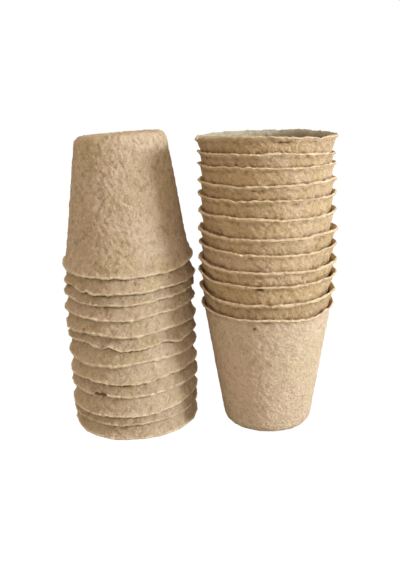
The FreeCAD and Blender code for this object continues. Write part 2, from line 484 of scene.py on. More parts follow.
RIMS = {
    "upright_pot_01": Rim((1.0, 0.9, 0.6, -0.1, -0.4, -0.1, -0.1, -1.2, -1.2, 0.2, 0.4, 0.5, 0.5)),
    "upright_pot_02": Rim(
        (3.2, 3.0, 0.5, 0.1, -0.4, 0.0, -0.1, 0.0, 0.3, 1.0, 1.3, 1.0, 0.6), flares=(0.4, 0.6),
    ),
    "upright_pot_03": Rim(
        (2.8, 2.5, 0.4, 0.3, 0.0, 0.0, 0.0, 0.0, 0.0, 0.7, 0.8, 0.5, 0.3), trim=0.1,
        waves=((-17, 3, -0.4),), flares=(1.0, 1.3),
    ),
    "upright_pot_04": Rim(
        (2.2, 2.0, 0.6, 0.0, 0.2, 0.0, 0.0, -0.4, -0.6, 0.2, 0.5, 0.3, 0.0),
        waves=((-54, 6, 0.5),), flares=(1.0, 1.3),
    ),
    "upright_pot_05": Rim(
        (1.9, 1.7, 1.3, 0.8, 0.0, 0.0, -0.4, -0.6, -0.3, 0.3, 0.6, 0.0, -0.8), trim=0.1,
        waves=((23, 5, -0.5), (-25, 3, 0.5)), flares=(0.4, 1.4),
    ),
    "upright_pot_06": Rim(
        (1.7, 1.5, 1.0, 0.1, 0.0, 0.2, 0.0, 0.2, 0.7, 1.0, 0.7, 0.2, -0.5), trim=0.1,
        flares=(0.5, 1.2),
    ),
    "upright_pot_07": Rim(
        (0.9, 0.9, 0.8, 1.0, 0.7, 0.3, -0.4, -0.7, -0.6, -0.3, 0.6, 0.2, 0.0), trim=0.2,
        flares=(0.2, 0.6),
    ),
    "upright_pot_08": Rim(
        (1.4, 0.6, 0.2, 0.3, 0.0, 0.5, 0.2, -0.2, -0.3, -0.3, 0.0, 0.5, 0.5), trim=0.2,
        waves=((-36, 3, -0.5), (-8, 2.5, -0.4)),
    ),
    "upright_pot_09": Rim(
        (1.2, 0.6, 0.3, 0.0, -0.5, 0.0, 0.1, 0.3, 0.5, 0.7, 1.0, 0.1, 0.0),
        waves=((-21, 4, 0.4),),
    ),
    "upright_pot_10": Rim(
        (0.7, 0.2, 0.0, 0.3, 0.0, -0.1, -0.5, -0.8, -0.9, -0.5, -0.4, -1.0, -1.2), trim=0.2,
        waves=((-35, 4, 0.5), (-24, 3, 0.4), (-29, 2, -0.4)),
    ),
    "upright_pot_11": Rim(
        (0.3, 0.0, 0.0, 0.0, 0.1, -0.3, 0.0, -0.7, -1.1, -1.6, -2.2, -2.6, -2.8), trim=-0.4,
        waves=((-22, 5, -0.4),),
    ),
    "upright_pot_12": Rim(
        (-1.8, -0.8, 0.0, 0.0, 0.1, 0.0, -0.7, -1.3, -1.8, -1.8, -1.6, -1.5, -1.5),
        waves=((36, 4, -0.6), (22, 4, 0.5), (-82, 4, -0.7)), flares=(1.2, 0.6), back=-0.1,
    ),
    "inverted_pot_01": Rim(
        (1.7, 1.5, 0.7, 0.2, 0.0, 0.0, 0.0, 0.0, 0.1, 0.1, 0.1, 0.3, 0.4), ragged=0.3,
    ),
    "inverted_pot_02": Rim(
        (0.3, 0.3, 0.3, 0.3, -0.3, -0.3, 0.1, 0.5, 0.7, 1.0, 1.5, 1.6, 1.6), trim=-0.8,
        flares=(0.3, 0.5),
    ),
    "inverted_pot_03": Rim(
        (-0.4, -0.5, -0.6, -0.9, -0.9, -0.3, -0.4, 0.0, 1.4, 2.8, 3.2, 3.3, 3.3), trim=1.1,
        flares=(0.5, 0.9),
    ),
    "inverted_pot_04": Rim(
        (0.0, -0.1, -0.3, -1.0, -0.3, -0.5, -0.5, 0.0, 0.3, 1.5, 1.1, 1.0, 1.0), trim=-0.8,
        waves=((-35, 2.5, 0.9), (-28, 2.5, 1.0), (-31.5, 1.5, -0.6)), flares=(0.5, 1.2),
    ),
    "inverted_pot_05": Rim(
        (1.0, 1.2, 1.4, 2.1, 1.4, 1.1, 1.4, 2.0, 3.8, 4.1, 4.8, 4.8, 4.6), trim=1.0,
        flares=(0.6, 1.2),
    ),
    "inverted_pot_06": Rim(
        (0.5, 0.3, 0.0, -1.0, -0.8, 0.0, 1.0, 2.1, 2.1, 2.2, 2.4, 2.4, 2.4), trim=-0.9,
        flares=(0.8, 1.3),
    ),
    "inverted_pot_07": Rim(
        (4.0, 4.5, 5.0, 6.0, 3.0, 3.0, 2.2, 3.2, 5.2, 2.8, 4.4, 4.4, 4.0), trim=0.1,
        waves=((-21, 4, 1.6), (-11, 4, -0.9)), flares=(1.2, 1.4),
    ),
    "inverted_pot_08": Rim(
        (0.0, 0.0, 0.1, 0.8, 0.8, -0.2, -0.6, 0.8, 1.9, 2.3, 2.0, 2.0, 2.0), trim=-0.3,
        waves=((-45, 4, 0.6),), flares=(1.3, 1.2),
    ),
    "inverted_pot_09": Rim(
        (1.0, 0.9, 0.8, 0.8, 0.2, 0.2, 0.4, 1.9, 2.8, 3.4, 3.9, 3.8, 3.6), trim=-0.2,
        flares=(1.1, 1.3),
    ),
    "inverted_pot_10": Rim(
        (2.0, 1.9, 1.8, 0.1, -0.3, 0.1, 0.1, 1.3, 1.9, 2.5, 3.4, 3.8, 4.0), trim=-0.2,
        flares=(0.8, 1.4),
    ),
    "inverted_pot_11": Rim(
        (1.5, 1.2, 2.5, 0.0, -0.6, 0.0, 0.3, 0.1, 1.5, 1.4, 1.8, 2.6, 3.0), trim=0.7,
        waves=((-38, 3, 1.2),), flares=(0.4, 1.4),
    ),
    "inverted_pot_12": Rim(
        (3.3, 1.2, -0.5, -0.7, -1.0, -1.0, -0.9, -0.5, 0.0, 0.4, 2.3, 3.4, 4.6), flares=(0.4, 0.8),
    ),
}


# How much paler (above zero) or browner (below) a pot's felt is than the rest of its batch.
TONES = {
    "upright_pot_02": -0.34, "upright_pot_05": 0.10, "upright_pot_06": -0.08,
    "upright_pot_07": 0.10, "upright_pot_08": 0.04, "upright_pot_11": -0.12,
    "upright_pot_12": -0.12, "inverted_pot_01": -0.05, "inverted_pot_02": -0.26,
    "inverted_pot_03": 0.14, "inverted_pot_04": -0.18, "inverted_pot_05": 0.18,
    "inverted_pot_06": -0.08, "inverted_pot_07": -0.15, "inverted_pot_08": 0.12,
    "inverted_pot_10": -0.26, "inverted_pot_11": -0.06,
}


@dataclass(frozen=True)
class Mark:
    """One spot in the felt: a pit, crack, ridge or stain on a pot's outer face.

    Angle and lean are degrees, the rest millimetres. Level is the height above the ground in the
    resting stack. Depth is positive outwards, and shade darkens below zero and lightens above: it
    paints shade into pits and cracks and light onto ridges.
    """

    pot: str
    angle: float
    level: float
    wide: float
    tall: float
    depth: float
    shade: float
    lean: float = 0.0


MARKS: tuple[Mark, ...] = (
    Mark("upright_pot_01", -22, 73.6, 0.9, 0.8, -0.9, -1.2),
    Mark("upright_pot_01", -26, 70.6, 0.5, 0.5, -0.5, -0.4),
    Mark("upright_pot_01", -10, 78.0, 5.0, 0.4, -0.6, -0.7),
    Mark("upright_pot_01", -26, 77.5, 0.9, 0.5, -0.5, -0.5),
    Mark("upright_pot_03", -17, 98.0, 1.9, 0.7, -1.1, -2.8),
    Mark("upright_pot_03", -3, 98.0, 0.9, 0.4, -0.5, -0.4),
    Mark("upright_pot_04", 20, 103.5, 0.4, 2.6, -0.5, -0.6, -8.0),
    Mark("upright_pot_05", -25, 116.2, 1.0, 0.7, -0.6, -0.6),
    Mark("upright_pot_06", 37, 122.0, 0.5, 3.2, -0.6, -0.6, 28.0),
    Mark("upright_pot_06", 22, 122.5, 4.5, 2.8, 1.1, 0.15),
    Mark("upright_pot_07", -11, 133.5, 0.5, 3.0, -0.4, -0.3, 40.0),
    Mark("upright_pot_08", 0, 140.8, 0.4, 2.0, -0.5, -0.45),
    Mark("upright_pot_08", 42, 135.8, 0.4, 2.0, -0.5, -0.45),
    Mark("upright_pot_08", -38, 146.2, 0.8, 0.6, -0.6, -0.6),
    Mark("upright_pot_08", -8, 146.0, 0.8, 0.6, -0.6, -0.6),
    Mark("upright_pot_09", 16, 146.5, 7.5, 0.4, -0.5, -0.5),
    Mark("upright_pot_09", -21, 154.0, 4.0, 0.5, -0.5, -0.4),
    Mark("upright_pot_12", 1, 179.8, 5.5, 0.5, -0.7, -0.7),
    Mark("upright_pot_12", 31, 179.3, 1.4, 0.5, -0.7, -0.7),
    Mark("upright_pot_12", 13, 177.5, 0.7, 4.0, 0.8, 0.6),
    # Painted shadow: dark spots on the walls under the arch in the rim of inverted_pot_04.
    Mark("inverted_pot_03", -35, 28.9, 1.2, 0.8, -0.4, -1.2),
    Mark("inverted_pot_03", -28, 29.0, 1.4, 0.8, -0.4, -1.2),
    Mark("inverted_pot_04", -35, 29.3, 1.7, 0.9, -1.1, -3.4),
    Mark("inverted_pot_04", -28, 29.4, 1.7, 0.9, -1.1, -3.4),
    Mark("inverted_pot_08", -45, 70.5, 0.9, 0.7, -0.8, -0.7),
    Mark("inverted_pot_10", -28, 93.0, 0.6, 3.2, 0.5, 0.4),
    Mark("inverted_pot_11", 5, 98.0, 0.5, 5.0, -0.6, -0.55, 8.0),
)


@dataclass(frozen=True)
class Relief:
    """One layer of the felt's relief, in millimetres.

    Lump is how large its lumps are, height how high they stand everywhere, and more how much
    higher they stand on bare felt. A slanted layer winds round the wall in streaks.
    """

    lump: float
    height: float
    more: float
    lean: float = 0.0
    stretch: float = 1.0

    def lift(self, noise: Callable, places: np.ndarray, free: np.ndarray) -> np.ndarray:
        """How high this layer stands at each place, in millimetres.

        Args:
            noise: The pulp's lumps or flakes.
            places: Points of the pot in its mould.
            free: How bare the felt is at each point.

        Returns:
            The height at each point.
        """
        if self.lean:
            places = slanted(places, self.lean, self.stretch)
        return noise(places, self.lump * MM) * (self.height + self.more * free)


@dataclass(frozen=True)
class Wear:
    """How one stack's felt differs from the other's.

    Edge start is how far up the lip the pale torn edge begins, as a share of it, and edge share is
    how pale it is; that edge is partly the torn fibre's own paler colour and partly a painted
    highlight. Seam middle and reach place the painted shade where a wall goes in under the next rim,
    in millimetres, and seam depth is how dark it is. Rough and hollow scale the relief and its
    painted shade and light, and slack draws the lip in, in millimetres.
    """

    edge_start: float
    edge_share: float
    seam_middle: float
    seam_reach: float
    seam_depth: float
    rough: float
    hollow: float
    slack: float


WEARS = {
    Stack.UPRIGHT: Wear(
        edge_start=0.62, edge_share=0.8, seam_middle=0.1, seam_reach=1.0, seam_depth=0.42,
        rough=1.0, hollow=1.0, slack=0.0,
    ),
    Stack.INVERTED: Wear(
        edge_start=0.81, edge_share=0.95, seam_middle=0.5, seam_reach=0.8, seam_depth=0.8,
        rough=1.2, hollow=1.15, slack=0.25,
    ),
}


class Pot:
    """One moulded pot, shaped from a blank to the place and wall of its node."""

    SEEDS = {Stack.UPRIGHT: 7, Stack.INVERTED: 3}
    SEED_STEP = 100
    RIM_SEED_STEP = 50
    FADE = 14.0 * MM
    LIP = 3.0 * MM
    FLARE_ZONE = 6.0 * MM
    FLARE_START = 1.6
    RAGGED = {53: 0.16, 120: 0.22, 260: 0.16}
    CURL = {14: 0.2, 61: 0.22, 150: 0.18}
    THICK = {48: 0.22, 110: 0.24}
    FOOT_ZONE = 45.0 * MM
    FOOT_RISE = 0.048
    FOOT_LIFT = 0.5 * MM
    FOOT_ASIDE = -0.45 * MM
    BARE_FADE = 6.0 * MM
    SMOOTH_WALL = 0.62
    SWELL = Relief(15.0, 0.08, 0.14)
    KNOTS = Relief(5.0, 0.04, 0.07)
    FLAKES = (
        Relief(2.1, 0.02, 0.085),
        Relief(1.2, 0.01, 0.075, lean=0.8, stretch=2.4),
        Relief(1.3, 0.01, 0.06, lean=-0.6, stretch=2.2),
    )
    KNOT_SHADE = 0.35
    GRAIN_LEAN = 0.8
    TORN_LUMP = 2.0 * MM
    EDGE_FADE = 0.16
    CHALK_ZONE = 24.0 * MM

    def __init__(self, stack: Stack, level: int, count: int) -> None:
        """Reads the pot's place from the frame.

        Args:
            stack: The stack that it stands in.
            level: Its number in the stack, from the ground up.
            count: How many pots the stack has.
        """
        self.stack = stack
        self.node = f"{stack.value}_pot_{level:02d}"
        self.low, self.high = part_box(self.node)
        self.axis = stack.axis()
        self.rim = RIMS[self.node]
        self.wear = WEARS[stack]
        self.level = level
        self.top = level == count
        self.seed = self.SEED_STEP * level + self.SEEDS[stack]
        self.rim_seed = self.seed + self.RIM_SEED_STEP

    @property
    def exposed(self) -> bool:
        """Whether the whole outer wall shows while the stack rests."""
        return self.level == 1 if self.stack is Stack.UPRIGHT else self.top

    def wall(self, mould: Mould, neighbour: "Pot | None") -> float:
        """The sheet's thickness, worked out from how high the neighbour on it seats.

        Args:
            mould: The shared sizes.
            neighbour: The pot that this sheet parts from its own seat, if any.

        Returns:
            The thickness in metres, a little under the solid's to leave the felt its relief.
        """
        if neighbour is None:
            return mould.sheet - mould.felt_allowance
        step = abs(self._foot_level() - neighbour._foot_level())
        return step * math.sin(mould.draft) - mould.nest_clearance - mould.felt_allowance

    def _foot_level(self) -> float:
        """Height of the foot's flat face above the ground."""
        return self.low[2] if self.stack is Stack.UPRIGHT else self.high[2]

    def rim_level(self, mould: Mould, angle: np.ndarray) -> np.ndarray:
        """Height of the rim above the ground, but for its small tears.

        Args:
            mould: The shared sizes.
            angle: Places round the rim, in radians from the front.

        Returns:
            The height at each angle, in metres.
        """
        rise = self.rim.height(angle, Pulp(self.rim_seed))
        tall = mould.height + self.rim.trim * MM
        return rise + (self.low[2] + tall if self.stack is Stack.UPRIGHT else self.high[2] - tall)

    def build(self, blank: Blank, wall: float, outer: "Pot | None") -> bpy.types.Object:
        """Shapes the blank into this pot and links it as its own object.

        Args:
            blank: The spun blank.
            wall: Thickness of this pot's sheet.
            outer: The pot that this one is nested in, if any.

        Returns:
            The pot's object, at the origin, with its place in its mesh.
        """
        pulp = Pulp(self.seed)
        mould = blank.mould
        places = blank.places + blank.normals * (blank.inside * (wall - mould.sheet))[:, None]
        angle = np.arctan2(places[:, 0], -places[:, 1])
        places = self._lean_foot(places)
        places = self._raise_rim(places, angle, blank, pulp)
        places, felt = self._felt(places, blank, pulp)
        world, marks = self._mark(self._stand(places), blank, angle)
        world[:, 2] = np.maximum(world[:, 2], 0.0)
        mesh = blank.mesh.copy()
        mesh.name = self.node
        mesh.vertices.foreach_set("co", world.ravel())
        if self.stack is Stack.INVERTED:
            mesh.flip_normals()
        chalk = self._chalk(places, blank)
        # The pale torn edge: paler fibre, and partly a painted highlight along the lip.
        self._paint(mesh, "edge", self._torn_edge_and_highlight(places, blank, pulp) * (1.0 - chalk))
        self._paint(mesh, "chalk", chalk)
        # Painted shade under the upright rims, in the mouth and in the seam under the next rim,
        # added to the painted shade and light of the relief and the marks.
        painted_shade = self._painted_shade(blank, angle) + self._seam_shade(world, blank, angle, outer)
        self._paint(mesh, "shade", marks + felt + painted_shade)
        self._paint(mesh, "tone", np.full_like(angle, TONES.get(self.node, 0.0)))
        aside = pulp.random.uniform(-1.0, 1.0, 3)
        self._paint(mesh, "felt_place", places + aside)
        self._paint(mesh, "grain_place", slanted(places, self.GRAIN_LEAN) + aside)
        mesh.update()
        pot = bpy.data.objects.new(f"{self.node}_felt", mesh)
        bpy.context.scene.collection.objects.link(pot)
        return pot

    @staticmethod
    def _paint(mesh: bpy.types.Mesh, name: str, values: np.ndarray) -> None:
        """Stores a number or a place for each vertex, which the material reads.

        Args:
            mesh: The pot's mesh.
            name: What the material calls it.
            values: One number or one point for each vertex.
        """
        single = values.ndim == 1
        layer = mesh.attributes.new(name, "FLOAT" if single else "FLOAT_VECTOR", "POINT")
        layer.data.foreach_set("value" if single else "vector", values.astype(np.float32).ravel())

    def _stand(self, places: np.ndarray) -> np.ndarray:
        """Moves a pot from its mould, on its foot at the origin, to its place in the stack.

        Args:
            places: Points of the pot in its mould.

        Returns:
            The points in the stack, upside down in the inverted one.
        """
        world = places.copy()
        world[:, :2] += self.axis
        if self.stack is Stack.UPRIGHT:
            world[:, 2] += self.low[2]
        else:
            world[:, 2] = self.high[2] - places[:, 2]
        return world

    def _lean_foot(self, places: np.ndarray) -> np.ndarray:
        """Tilts the foot of the one pot whose foot is in full view.

        Args:
            places: Points of the pot in its mould.

        Returns:
            The moved points.
        """
        if self.stack is Stack.UPRIGHT or not self.top:
            return places
        near = ease((self.FOOT_ZONE - places[:, 2]) / self.FOOT_ZONE)
        moved = places.copy()
        moved[:, 2] -= (self.FOOT_RISE * places[:, 0] + self.FOOT_LIFT) * near
        moved[:, 0] += self.FOOT_ASIDE * near
        return moved

    def _raise_rim(
        self, places: np.ndarray, angle: np.ndarray, blank: Blank, pulp: Pulp
    ) -> np.ndarray:
        """Lets the rim rise, dip and curl unevenly, along the cone of the wall.

        Args:
            places: Points of the pot in its mould.
            angle: Their angles about the axis, in radians from the front.
            blank: The blank, for its lip and faces.
            pulp: This pot's noise.

        Returns:
            The moved points.
        """
        mould = blank.mould
        turn = angle / math.tau
        rise = self.rim.height(angle, Pulp(self.rim_seed))
        if self.stack is Stack.INVERTED:
            rise = -rise
        ragged = pulp.waves(turn, self.RAGGED) * self.rim.ragged
        lift = self.rim.trim * MM + rise + ragged * MM
        from_rim = mould.height - places[:, 2]
        fade = ease((self.FADE - from_rim) / (self.FADE - self.LIP))
        curl = pulp.waves(turn, self.CURL) - self.wear.slack
        thick = pulp.waves(turn, self.THICK)
        lip = ease(blank.lip)
        flare = ease(self.FLARE_START - from_rim / self.FLARE_ZONE) * self.rim.flare(angle)
        outward = lift * mould.slope * fade + curl * MM * lip ** 2 + flare
        radius = np.hypot(places[:, 0], places[:, 1])
        share = 1.0 + outward / np.maximum(radius, MM)
        moved = places * np.stack([share, share, np.ones_like(share)], axis=1)
        moved[:, 2] += lift * fade + thick * MM * lip ** 2 * blank.inside
        return moved

    def _felt(
        self, places: np.ndarray, blank: Blank, pulp: Pulp
    ) -> tuple[np.ndarray, np.ndarray]:
        """Raises the felted relief of pressed fibre.

        Args:
            places: Points of the pot in its mould.
            blank: The blank, for its normals and faces.
            pulp: This pot's noise.

        Returns:
            The moved points, and a painted shade that darkens the hollows and a painted light on the
            raised knots and flakes.
        """
        mould = blank.mould
        bare = ease((places[:, 2] - (mould.height - mould.band)) / self.BARE_FADE)
        outer = 1.0 - blank.inside
        free = outer if self.exposed else outer * bare
        smooth = self.exposed and self.stack is Stack.UPRIGHT
        free = free * (self.SMOOTH_WALL if smooth else self.wear.rough)
        swell = self.SWELL.lift(pulp.lumps, places, free)
        knots = self.KNOTS.lift(pulp.lumps, places, free)
        flakes = [layer.lift(pulp.flakes, places, free) for layer in self.FLAKES]
        relief = sum(flakes, swell + knots) * MM
        # Painted shade in the relief's hollows and painted light on its raised knots and flakes.
        felt = self.KNOT_SHADE * knots + self.wear.hollow * sum(flakes)
        return places + blank.normals * relief[:, None], felt

    def _torn_edge_and_highlight(self, places: np.ndarray, blank: Blank, pulp: Pulp) -> np.ndarray:
        """How pale the torn edge of the lip is, unevenly along it: partly the torn fibre's own paler
        colour and partly a painted highlight where the lip catches the light.

        Args:
            places: Points of the pot in its mould.
            blank: The blank, for its lip.
            pulp: This pot's noise.

        Returns:
            The share of the edge's colour at each point.
        """
        mean, swing, most = 0.95, 0.9, 1.3
        torn = np.clip(mean + swing * pulp.lumps(places, self.TORN_LUMP), 0.0, most)
        edge = ease((blank.lip - self.wear.edge_start) / self.EDGE_FADE)
        return self.wear.edge_share * edge * torn

    def _chalk(self, places: np.ndarray, blank: Blank) -> np.ndarray:
        """Greyer felt in the one mouth that shows, most of all near its rim.

        Args:
            places: Points of the pot in its mould.
            blank: The blank, for its faces.

        Returns:
            The share of the chalk's colour at each point.
        """
        if self.stack is Stack.INVERTED or not self.top:
            return np.zeros_like(blank.inside)
        most, fade, start = 0.9, 0.6, 0.4
        deep = ease((blank.mould.height - places[:, 2]) / self.CHALK_ZONE - start)
        return blank.inside * (most - fade * deep)

    def _painted_shade(self, blank: Blank, angle: np.ndarray) -> np.ndarray:
        """Painted shade in the hollow under an upright rim and in its mouth, darker under the rim on
        the left and in the mouth on the right, the sides away from the key lamp.

        Args:
            blank: The blank, for its lip and faces.
            angle: Angles about the axis, in radians from the front.

        Returns:
            A shade at each point, below zero where it is darker.
        """
        if self.stack is Stack.INVERTED:
            return np.zeros_like(angle)
        middle, reach = 0.35, 0.3
        under = np.exp(-((blank.lip - middle) / reach) ** 2) * (1.0 - blank.inside)
        under_least, under_left = 0.16, 0.14
        under *= under_least + under_left * ease(-np.sin(angle))
        mouth_least, mouth_right, left_start = 0.1, 0.5, 0.5
        mouth = blank.inside * (1.0 - blank.lip / 2)
        mouth *= mouth_least + mouth_right * ease(left_start + np.sin(angle))
        return -mouth - under

    def _seam_shade(
        self, world: np.ndarray, blank: Blank, angle: np.ndarray, outer: "Pot | None"
    ) -> np.ndarray:
        """Painted shade in the thin gap where the wall goes in under the rim of the pot round it.

        Args:
            world: Points of the pot in the stack.
            blank: The blank, for its faces.
            angle: Their angles about the axis, in radians from the front.
            outer: The pot that this one is nested in, if any.

        Returns:
            A shade at each point, below zero where it is darker.
        """
        if outer is None:
            return np.zeros_like(angle)
        side = 1.0 if self.stack is Stack.UPRIGHT else -1.0
        above = side * (world[:, 2] - outer.rim_level(blank.mould, angle)) / MM
        near = np.exp(-((above - self.wear.seam_middle) / self.wear.seam_reach) ** 2)
        return -self.wear.seam_depth * near * (1.0 - blank.inside)

    def _mark(
        self, world: np.ndarray, blank: Blank, angle: np.ndarray
    ) -> tuple[np.ndarray, np.ndarray]:
        """Presses this pot's own pits, cracks and ridges into its outer face.

        Args:
            world: Points of the pot in the stack.
            blank: The blank, for its sizes and faces.
            angle: Their angles about the axis, in radians from the front.

        Returns:
            The moved points, and the painted shade and light that go with the marks.
        """
        shade = np.zeros_like(angle)
        outward = np.stack([np.sin(angle), -np.cos(angle), np.zeros_like(angle)], axis=1)
        for mark in (mark for mark in MARKS if mark.pot == self.node):
            away = np.mod(np.degrees(angle) - mark.angle + 180.0, 360.0) - 180.0
            across = np.radians(away) * blank.mould.mouth_radius / MM
            up = world[:, 2] / MM - mark.level
            lean = math.radians(mark.lean)
            along = up * math.cos(lean) + across * math.sin(lean)
            aside = across * math.cos(lean) - up * math.sin(lean)
            near = np.exp(-((aside / mark.wide) ** 2) - (along / mark.tall) ** 2)
            near *= 1.0 - blank.inside
            world = world + outward * (near * mark.depth * MM)[:, None]
            shade = shade + near * mark.shade
        return world, shade


class Felt:
    """The node group that every batch of pulp shares: colour and normal of felted fibre."""

    COLOURS = ("Body", "Patch", "Stain", "Edge", "Pale", "Dark", "Chalk")
    NAME = "felt"
    RELIEF = 0.7 * MM

    def __init__(self) -> None:
        """Builds the group once."""
        self.group = bpy.data.node_groups.new(self.NAME, "ShaderNodeTree")
        sockets = self.group.interface
        for name in self.COLOURS:
            sockets.new_socket(name, in_out="INPUT", socket_type="NodeSocketColor")
        sockets.new_socket("Color", in_out="OUTPUT", socket_type="NodeSocketColor")
        sockets.new_socket("Normal", in_out="OUTPUT", socket_type="NodeSocketVector")
        self._wire(Tree(self.group.nodes, self.group.links))

    def _wire(self, tree: "Tree") -> None:
        """Lays the noise layers and mixes the colours by them.

        Args:
            tree: The group's own tree.
        """
        given = tree.add("NodeGroupInput").outputs
        place = tree.read("felt_place", "Vector")
        grain = tree.read("grain_place", "Vector")
        patches = tree.noise(place, scale=24.0, detail=3.0)
        stains = tree.noise(place, scale=38.0, detail=3.0, shift=3.7)
        mottle = tree.noise(place, scale=210.0, detail=4.0, roughness=0.6, shift=1.3)
        flakes = tree.noise(place, scale=470.0, detail=3.0, shift=2.1)
        flakes = tree.ramp(flakes, start=0.43, end=0.60)
        speck = tree.noise(place, scale=1250.0, detail=3.0, roughness=0.8, shift=7.1)
        strands = tree.noise(grain, scale=620.0, detail=1.0, shift=5.0)
        strands = tree.strand(strands, half_width=0.022)
        threads = tree.noise(place, scale=640.0, detail=0.5, shift=9.0)
        threads = tree.strand(threads, half_width=0.018)
        edge = tree.read("edge", "Fac")
        chalk = tree.read("chalk", "Fac")
        tone = tree.read("tone", "Fac")
        shade = tree.read("shade", "Fac")
        layers = (
            (tree.ramp(patches, start=0.42, end=0.62), "Patch"),
            (tree.ramp(stains, start=0.51, end=0.64, height=0.7), "Stain"),
            (chalk, "Chalk"),
            (tree.scaled(tone, share=-0.75), "Dark"),
            (tree.scaled(tone, share=0.45), "Pale"),
            (tree.ramp(mottle, start=0.54, end=0.78, height=0.45), "Pale"),
            (tree.ramp(mottle, start=0.48, end=0.24, height=0.32), "Dark"),
            (tree.ramp(speck, start=0.52, end=0.72, height=0.70), "Pale"),
            (tree.ramp(speck, start=0.48, end=0.28, height=0.55), "Dark"),
            (tree.scaled(strands, share=0.34), "Pale"),
            (tree.scaled(threads, share=0.22), "Dark"),
            # The edge colour: the torn fibre's own paler colour, and partly a painted highlight
            # along the lip.
            (edge, "Edge"),
            # The shade attribute carries painted shade (hollows, pits, cracks, seams, under rims, in
            # the mouth) and painted light (raised flakes and ridges).
            (tree.ramp(shade, start=0.0, end=-1.0), "Dark"),
            (tree.ramp(shade, start=0.0, end=1.0, height=0.7), "Pale"),
        )
        colour = given["Body"]
        for share, name in layers:
            colour = tree.mix(share, colour, given[name])
        height = tree.total([
            tree.scaled(mottle, share=0.4), tree.scaled(flakes, share=0.3),
            tree.scaled(speck, share=0.9), tree.scaled(strands, share=0.3),
            tree.scaled(threads, share=-0.25),
        ])
        bump = tree.add("ShaderNodeBump")
        bump.inputs["Distance"].default_value = self.RELIEF
        bump.inputs["Strength"].default_value = 1.0
        tree.links.new(height, bump.inputs["Height"])
        made = tree.add("NodeGroupOutput").inputs
        tree.links.new(colour, made["Color"])
        tree.links.new(bump.outputs["Normal"], made["Normal"])


@dataclass(frozen=True)
class Fibre:
    """One batch of pressed wood and peat fibre, with linear colours."""

    name: str
    body: tuple[float, float, float]
    patch: tuple[float, float, float]
    stain: tuple[float, float, float]
    # The edge colour is the torn fibre's paler colour and partly a painted highlight.
    edge: tuple[float, float, float]
    pale: tuple[float, float, float] = (0.86, 0.74, 0.58)
    dark: tuple[float, float, float] = (0.20, 0.115, 0.05)
    chalk: tuple[float, float, float] = (0.50, 0.49, 0.40)
    roughness: float = 0.94
    specular: float = 0.15

    def build(self, felt: Felt) -> bpy.types.Material:
        """Makes the material from the shared group.

        Args:
            felt: The group that lays the fibres.

        Returns:
            The material of this batch.
        """
        material = bpy.data.materials.new(self.name)
        material.use_nodes = True
        nodes, links = material.node_tree.nodes, material.node_tree.links
        nodes.clear()
        fibres = nodes.new("ShaderNodeGroup")
        fibres.node_tree = felt.group
        colours = (self.body, self.patch, self.stain, self.edge, self.pale, self.dark, self.chalk)
        for socket, colour in zip(Felt.COLOURS, colours):
            fibres.inputs[socket].default_value = (*colour, 1.0)
        shader = nodes.new("ShaderNodeBsdfPrincipled")
        shader.inputs["Roughness"].default_value = self.roughness
        shader.inputs["Specular IOR Level"].default_value = self.specular
        links.new(fibres.outputs["Color"], shader.inputs["Base Color"])
        links.new(fibres.outputs["Normal"], shader.inputs["Normal"])
        output = nodes.new("ShaderNodeOutputMaterial")
        links.new(shader.outputs["BSDF"], output.inputs["Surface"])
        return material


class Batch(Enum):
    """The three batches of pulp, each a little different in colour."""

    TAN = Fibre(
        "tan_fibre", body=(0.645, 0.485, 0.345), patch=(0.695, 0.53, 0.405),
        stain=(0.60, 0.46, 0.275), edge=(0.90, 0.76, 0.56),
    )
    GOLDEN = Fibre(
        "golden_fibre", body=(0.665, 0.472, 0.272), patch=(0.725, 0.525, 0.36),
        stain=(0.61, 0.442, 0.235), edge=(0.85, 0.67, 0.47),
    )
    ROSY = Fibre(
        "rosy_fibre", body=(0.755, 0.585, 0.44), patch=(0.80, 0.605, 0.47),
        stain=(0.72, 0.58, 0.40), edge=(0.82, 0.65, 0.46),
    )


